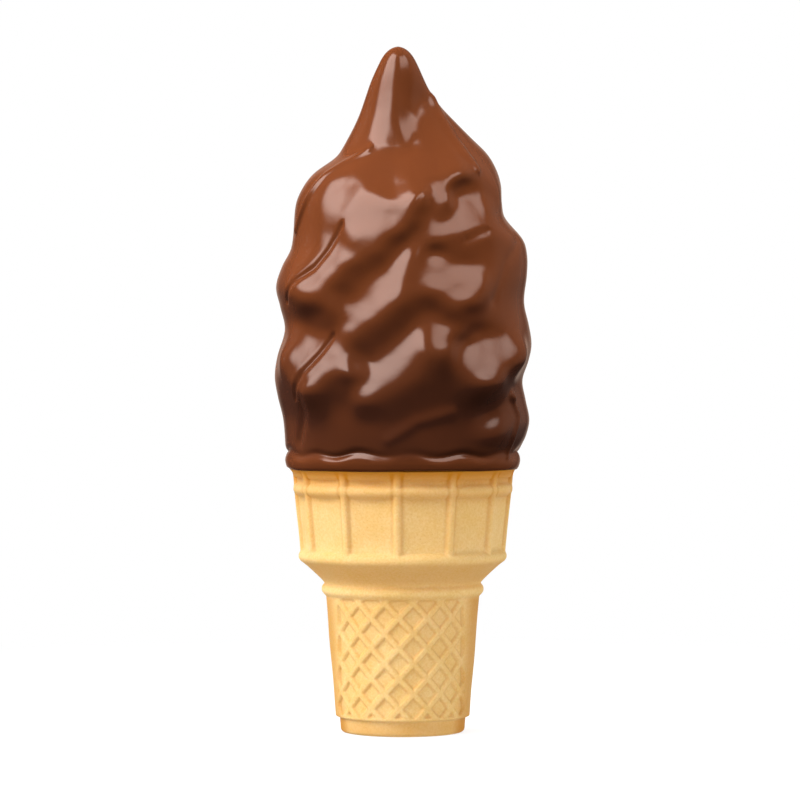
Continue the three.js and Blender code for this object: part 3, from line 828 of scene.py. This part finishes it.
def solve_relief(settings):
    """The knots of the front's relief: the smoothest one whose strokes face as they should.

    At azimuth a, a skin r(a, z) faces the azimuth a - atan(r_a / r) and the elevation atan(-r_z). Both
    slopes are linear in the knots, so each round finds the nearest wanted facing at every place of every
    stroke and solves the least squares of (slope - wanted slope), stiffness, smallness and hold. The hold
    keeps the relief at zero where the outlines are seen.
    """
    held_z = np.arange(HELD.from_z, settings.height / MM, HELD.spacing)
    held = np.stack(np.meshgrid(HELD.azimuths, held_z)).reshape(2, -1)
    knots, weights = relief_knots(*held)[:2]
    knot_count = GRID.columns * GRID.rows
    small = np.arange(knot_count)[:, None], np.full((knot_count, 1), math.sqrt(RELIEF.smallness))
    plain_parts = [*relief_bends(), (knots, weights * math.sqrt(RELIEF.hold)), small]
    plain_targets = [np.zeros(len(knots)) for knots, _ in plain_parts]

    facings, paths, half_widths, pulls = zip(*STROKES.values())
    places = [stroke_places(settings, *stroke) for stroke in zip(paths, half_widths)]
    azimuth, z = np.concatenate(places, axis=1)
    counts = [len(each[0]) for each in places]
    strength = [math.sqrt(RELIEF.pull * pull / count**0.5) for pull, count in zip(pulls, counts)]
    strength = np.repeat(strength, counts)
    knots, value, turn_slope, z_slope = relief_knots(azimuth, z)

    step = 0.01
    plain = plain_radius(settings, azimuth, z)
    after, before = (plain_radius(settings, azimuth + each, z) for each in (step, -step))
    plain_turn = (after - before) / math.radians(2 * step)
    above, below = (plain_radius(settings, azimuth, z + each) for each in (step, -step))
    forward_slope = (lean(z + step)[1] - lean(z - step)[1]) / (2 * step)
    plain_z = (above - below) / (2 * step) - forward_slope * np.cos(np.radians(azimuth))

    solved = np.zeros(knot_count)
    for _ in range(RELIEF.rounds):
        at = solved[knots]
        radius = plain + (value * at).sum(axis=1)
        faces = azimuth - np.degrees(np.arctan((plain_turn + (turn_slope * at).sum(axis=1)) / radius))
        climbs = np.degrees(np.arctan(-plain_z - (z_slope * at).sum(axis=1)))
        wanted = [
            nearest_facing(facing, faces[end - count : end], climbs[end - count : end])
            for facing, count, end in zip(facings, counts, np.cumsum(counts))
        ]
        wanted_azimuth, wanted_elevation = np.concatenate(wanted, axis=1)
        turn_parts = (knots, turn_slope * (strength / radius)[:, None]), (knots, z_slope * strength[:, None])
        turn_target = (np.tan(np.radians(azimuth - wanted_azimuth)) - plain_turn / radius) * strength
        z_target = (-np.tan(np.radians(wanted_elevation)) - plain_z) * strength
        solved = least_squares([*plain_parts, *turn_parts], [*plain_targets, turn_target, z_target], solved)
    return solved


def fold_rise(settings, fold, azimuth, z):
    """A thin fold: its rise exp(-(d/w)^2) at a distance d from its path, and the step of its lap.

    The lap stands (d/w) exp(-(d/w)^2) above on the right of the path and as much below on its left.
    """
    path, width, rise, lap = fold
    along, up = onto_skin(settings, *np.array(path, float).T)
    per_degree = np.radians(np.maximum(through(OUTLINE_MIDDLE, z), ROUND_PEAK.folds))
    nearest = np.full(np.broadcast(azimuth, z).shape, np.inf)
    aside = np.zeros_like(nearest)
    for k in range(len(path) - 1):
        run, climb = (along[k + 1] - along[k]) * per_degree, up[k + 1] - up[k]
        x, y = (azimuth - along[k]) * per_degree, z - up[k]
        part = np.clip((x * run + y * climb) / (run**2 + climb**2), 0, 1)
        distance = (x - part * run) ** 2 + (y - part * climb) ** 2
        right = np.sign(x * climb - y * run)
        aside = np.where(distance < nearest, right * np.sqrt(distance), aside)
        nearest = np.minimum(nearest, distance)
    return (rise + lap * aside / width) * np.exp(-nearest / width**2)


def waves(parts, azimuth):
    """The sum of waves round the axis."""
    return sum(size * np.sin(count * np.radians(azimuth) + phase) for size, count, phase in parts)


def swirl_radius(settings, azimuth, z):
    """The skin: the plain one raised by the front's relief and the folds, with its peak and its rim bead."""
    solved = solve_relief(settings)
    knots, weights = relief_knots(azimuth + 0 * z, z + 0 * azimuth)[:2]
    in_front = np.abs(azimuth) < -GRID.first_azimuth
    skin = plain_radius(settings, azimuth, z) + np.where(in_front, (solved[knots] * weights).sum(axis=-1), 0)
    for fold in FOLDS.values():
        skin = skin + fold_rise(settings, fold, azimuth, z)
    skin = close_peak(settings, skin, z)
    crown = RIM_BEAD.z + RIM_BEAD.wave * waves(RIM_WAVES, azimuth)
    above = (z - crown - RIM_CREASE.above) / RIM_CREASE.half_height
    depth = RIM_CREASE.depth + RIM_CREASE.deeper * wave(azimuth / RIM_CREASE.spacing)
    skin = skin - depth * np.exp(-(above**2))
    away = np.maximum(z - crown, 0) / RIM_BEAD.half_height + np.maximum(RIM_BEAD.z - z, 0) / RIM_BEAD.below
    rim = RIM_BEAD.radius - RIM_BEAD.depth * away**2
    near_rim = z < RIM_BEAD.z + 3 * RIM_BEAD.half_height
    return np.where(near_rim, soft_max(skin, rim, RIM_BEAD.blend), skin)


def swirl_levels(settings):
    """Heights of the rows: close at the rim, even over the turns, and ever closer towards the peak."""
    stations = [(settings.underside / MM, ROWS.rim_step), (ROWS.turns_z, ROWS.turns_step)]
    left = 1 - np.linspace(0, 1, ROWS.peak_count, endpoint=False)
    peak = ROWS.peak_z + (settings.height / MM - ROWS.peak_z) * (1 - left**ROWS.crowding)
    return np.concatenate([row_heights(stations, ROWS.peak_z), peak])


def swirl_mesh(settings):
    """The swirl's rows: the hidden underside, the edge that laps over the lip, the skin and the peak."""
    even = np.arange(COLUMNS.count)[None, :] * 2 * np.pi / COLUMNS.count - np.pi
    azimuth = np.degrees(even - COLUMNS.crowding * np.sin(even))
    z = swirl_levels(settings)[:, None]
    skin = swirl_radius(settings, azimuth, z)
    low, flat = settings.underside / MM, 0 * azimuth
    edge = low - LAP.drop + waves(LAP.waves, azimuth)
    radii = [0, 14, 28.2, 28.95, 29.0, 29.2, 29.35]
    heights = [low, low, low, low - 0.1, edge + 0.1, edge, edge + 0.12]
    radius = np.concatenate([*(flat + each for each in radii), skin, flat])
    height = np.concatenate([*(flat + each for each in heights), z + flat, flat + settings.height / MM])
    return radius, azimuth, height, lean(height)


def pooled(radius, height):
    """Painted shade, 0 to 1, under the lobes, where the skin leans out as it rises and so faces down."""
    with np.errstate(all="ignore"):
        overhang = np.nan_to_num(np.gradient(radius, axis=0) / np.gradient(height, axis=0))
    return smoothstep(overhang, *SHADE_UNDER_LOBES.overhang) * smoothstep(height, *SHADE_UNDER_LOBES.foot)


def chocolate_material(settings):
    """Set milk chocolate: a smooth glossy coat, darker in random patches, with painted shade low down and
    under the lobes.
    """
    material, tree = new_material("set_chocolate")
    place = millimetre_coordinates(tree)
    patches = ramp(tree, noise(tree, place, COAT.patches, 2), 0.35, 0.7)
    height = add_node(tree, "SeparateXYZ", {0: place}).outputs[2]
    # Painted shade: darker towards the bottom, less on the rim bead, and under the lobes; the patches are the
    # coat's own tone.
    low = calculate(tree, "MULTIPLY", ramp(tree, height, *THICK_AND_SHADED.low), ramp(tree, height, *THICK_AND_SHADED.rim))
    thick_and_shaded = calculate(tree, "MULTIPLY_ADD", patches, THICK_AND_SHADED.patches, low)
    thick_and_shaded = calculate(tree, "MULTIPLY_ADD", attribute(tree, "pooled"), THICK_AND_SHADED.pooled, thick_and_shaded)
    inputs = {
        "Base Color": blend_colours(tree, calculate(tree, "MINIMUM", thick_and_shaded, 1), settings.milk, settings.dark),
        "Roughness": settings.roughness,
        "IOR": 1.5,
        "Specular Tint": (1.0, 0.82, 0.74, 1),
        "Normal": bump(tree, noise(tree, place, COAT.waves, 2, 0.4), 0.08, 0.4),
    }
    finish_material(tree, inputs)
    return material


class MESH_OT_dipped_swirl(bpy.types.Operator):
    """Build the piped swirl with its chocolate coat"""

    bl_idname = "mesh.dipped_swirl"
    bl_label = "Dipped Swirl"

    def execute(self, context):
        settings = context.scene.soft_serve_swirl
        radius, azimuth, height, shift = swirl_mesh(settings)
        piece = turned_mesh("chocolate_swirl", radius, azimuth, height, shift)
        # The painted shade under the lobes, for the material.
        point_values(piece, "pooled", pooled(radius, height))
        piece.data.materials.append(chocolate_material(settings))
        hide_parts("dipped_soft_serve")
        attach(piece, "root")
        return {"FINISHED"}


# ---------- studio ----------

# Soft boxes that the coat mirrors: azimuths, elevations, softness of the edge in degrees, colour, radiance.
SOFT_BOXES = {
    "key": ((-82, -26), (20, 65), 12, (1.0, 0.98, 0.98), 7.0),
    "small box": ((12, 76), (31, 57), 12, (1.0, 0.98, 0.97), 3.8),
    "side wall": ((85, 150), (-10, 60), 20, (1, 0.85, 0.75), 0.16),
}
BACKDROP = ((160, 200), (-20, 50), 14, (1, 0.7, 0.55), 0.35)  # the same numbers, for both sides
BOX_MARGIN = 8  # degrees that a stroke keeps inside its box
ROOM = Sizes(below=0.02, above=0.03, elevation=60)  # radiance that far below and above the horizon
# Wide lights that only light the colours, of the swirl and of the cup: azimuth, elevation, width, strength.
SWIRL_LIGHTS = {
    "key": (-57, 45, 60, 2.1),
    "top": (0, 90, 90, 2.0),
    "left edge": (-122, 22, 30, 3.6),
    "right edge": (110, 20, 40, 1.5),
    **{f"ring {k}": (30 + 60 * k, 30, 60, 0.72) for k in range(6)},
    **{f"low {k}": (120 * k, -25, 90, 0.2) for k in range(3)},
}
CUP_LIGHTS = {
    "cup key": (-62, 42, 30, 2.2),
    **{f"cup ring {k}": (60 * k, 35, 60, 0.44) for k in range(6)},
    **{f"low ring {k}": (60 * k, -20, 90, 1.02) for k in range(6)},
}
# The floor's disc, and how it fades to plain white: two distances from the axis in metres, and two shares.
FLOOR = Sizes(corners=128, gap=0.02, fade=(0.04, 0.3, 0.75, 1))


def box_mask(tree, azimuth, elevation, azimuths, elevations, softness):
    """1 inside a box of directions, easing to 0 over its soft edges."""
    half = math.radians(softness) / 2
    edges = [
        ramp(tree, angle, math.radians(limit) - half, math.radians(limit) + half, before, 1 - before)
        for angle, limits in ((azimuth, azimuths), (elevation, elevations))
        for before, limit in enumerate(limits)
    ]
    return reduce(lambda mask, edge: calculate(tree, "MULTIPLY", mask, edge), edges)


def add_light(tree, total, mask, tint, radiance):
    """The colour so far and a tinted light, times its mask, added to it."""
    tinted = {0: tuple(radiance * each for each in tint), 3: mask}
    lit = add_node(tree, "VectorMath", tinted, operation="SCALE").outputs[0]
    return add_node(tree, "VectorMath", {0: total, 1: lit}, operation="ADD").outputs[0]


def studio_world():
    """What the coat mirrors: a dim room with soft boxes and a backdrop. The camera sees plain white."""
    world = bpy.data.worlds.new("studio")
    world.use_nodes = True
    world.cycles_visibility.diffuse = False
    tree = world.node_tree
    tree.nodes.clear()
    x, y, z = add_node(tree, "SeparateXYZ", {0: add_node(tree, "TexCoord").outputs["Generated"]}).outputs
    azimuth = calculate(tree, "ARCTAN2", x, calculate(tree, "MULTIPLY", y, -1.0))
    behind, elevation = calculate(tree, "ABSOLUTE", azimuth), calculate(tree, "ARCSINE", z)
    limit = math.radians(ROOM.elevation)
    room = ramp(tree, elevation, -limit, limit, ROOM.below, ROOM.above)
    light = add_light(tree, (0, 0, 0), room, (1, 1, 1), 1)
    for turn, box in [*((azimuth, box) for box in SOFT_BOXES.values()), (behind, BACKDROP)]:
        light = add_light(tree, light, box_mask(tree, turn, elevation, *box[:3]), *box[3:])
    lighting = add_node(tree, "Background", {"Color": light}).outputs[0]
    plain = add_node(tree, "Background", {"Color": (1, 1, 1, 1)}).outputs[0]
    seen = add_node(tree, "LightPath").outputs["Is Camera Ray"]
    surface = add_node(tree, "MixShader", {0: seen, 1: lighting, 2: plain}).outputs[0]
    add_node(tree, "OutputWorld", {"Surface": surface})
    bpy.context.scene.world = world


def wide_lights(lights, *lit):
    """Distant lights of a wide angle, left out of reflections, that only fall on the pieces `lit`."""
    receivers = bpy.data.collections.new("lit")
    for piece in lit:
        receivers.objects.link(piece)
    for name, (azimuth, elevation, width, strength) in lights.items():
        lamp = bpy.data.lights.new(name, "SUN")
        lamp.energy = strength
        lamp.angle = math.radians(width)
        light = bpy.data.objects.new(name, lamp)
        light.rotation_euler = Vector(unit(azimuth, elevation)).to_track_quat("Z", "Y").to_euler()
        light.visible_glossy = False
        light.light_linking.receiver_collection = receivers
        bpy.context.scene.collection.objects.link(light)


def floor_material():
    """White paper that takes a soft shadow near the object and fades to plain white further away."""
    material, tree = new_material("white_paper")
    place = add_node(tree, "TexCoord").outputs["Object"]
    away = add_node(tree, "VectorMath", {0: place}, operation="LENGTH").outputs["Value"]
    far = ramp(tree, away, *FLOOR.fade)
    paper = add_node(tree, "BsdfDiffuse", {"Color": (0.9, 0.9, 0.9, 1)}).outputs[0]
    plain = add_node(tree, "Emission", {"Color": (1, 1, 1, 1)}).outputs[0]
    surface = add_node(tree, "MixShader", {0: far, 1: paper, 2: plain}).outputs[0]
    add_node(tree, "OutputMaterial", {"Surface": surface})
    return material


def studio_floor(radius):
    """A flat disc just under the cup's foot."""
    turn = np.arange(FLOOR.corners) * 2 * np.pi / FLOOR.corners
    rim = np.stack([radius * np.cos(turn), radius * np.sin(turn), 0 * turn - FLOOR.gap * MM], axis=-1)
    mesh = bpy.data.meshes.new("floor")
    mesh.from_pydata(rim, [], [list(range(FLOOR.corners))])
    floor = bpy.data.objects.new("floor", mesh)
    bpy.context.scene.collection.objects.link(floor)
    mesh.materials.append(floor_material())
    floor.visible_glossy = False
    floor.visible_diffuse = False
    floor.visible_shadow = False


class SCENE_OT_soft_serve_studio(bpy.types.Operator):
    """Add the pale floor, the soft light and the camera"""

    bl_idname = "scene.soft_serve_studio"
    bl_label = "Studio"

    def execute(self, context):
        settings = context.scene.soft_serve_studio
        studio_floor(settings.floor_radius)
        studio_world()
        pieces = bpy.data.objects
        wide_lights(SWIRL_LIGHTS, pieces["chocolate_swirl"], pieces["floor"])
        wide_lights(CUP_LIGHTS, pieces["wafer"])
        camera = bpy.data.objects.new("camera", bpy.data.cameras.new("camera"))
        context.scene.collection.objects.link(camera)
        camera.location = (-settings.aside, -settings.distance, settings.camera_height)
        camera.rotation_euler = (math.pi / 2 - settings.pitch, 0, 0)
        camera.data.lens = settings.lens
        camera.data.sensor_width = 36
        context.scene.camera = camera
        context.scene.view_settings.view_transform = "Standard"
        return {"FINISHED"}


class VIEW3D_PT_soft_serve(bpy.types.Panel):
    """The operators and their settings"""

    bl_label = "Dipped Soft Serve"
    bl_idname = "VIEW3D_PT_soft_serve"
    bl_space_type = "VIEW_3D"
    bl_region_type = "UI"
    bl_category = "Soft Serve"

    def draw(self, context):
        for operator, group, _ in STEPS:
            box = self.layout.box()
            box.operator(operator)
            settings = getattr(context.scene, group)
            for name in settings.__annotations__:
                box.prop(settings, name)


STEPS = [
    ("mesh.wafer_cup", "soft_serve_wafer", WaferSettings),
    ("mesh.dipped_swirl", "soft_serve_swirl", SwirlSettings),
    ("scene.soft_serve_studio", "soft_serve_studio", StudioSettings),
]
OPERATORS = [MESH_OT_wafer_cup, MESH_OT_dipped_swirl, SCENE_OT_soft_serve_studio]
CLASSES = [WaferSettings, SwirlSettings, StudioSettings, *OPERATORS, VIEW3D_PT_soft_serve]


def register():
    for each in CLASSES:
        bpy.utils.register_class(each)
    for _, name, group in STEPS:
        setattr(bpy.types.Scene, name, PointerProperty(type=group))


def unregister():
    for _, name, _ in STEPS:
        delattr(bpy.types.Scene, name)
    for each in reversed(CLASSES):
        bpy.utils.unregister_class(each)


def main():
    """Builds every piece and the studio."""
    register()
    bpy.ops.mesh.wafer_cup()
    bpy.ops.mesh.dipped_swirl()
    bpy.ops.scene.soft_serve_studio()


if __name__ == "__main__":
    main()
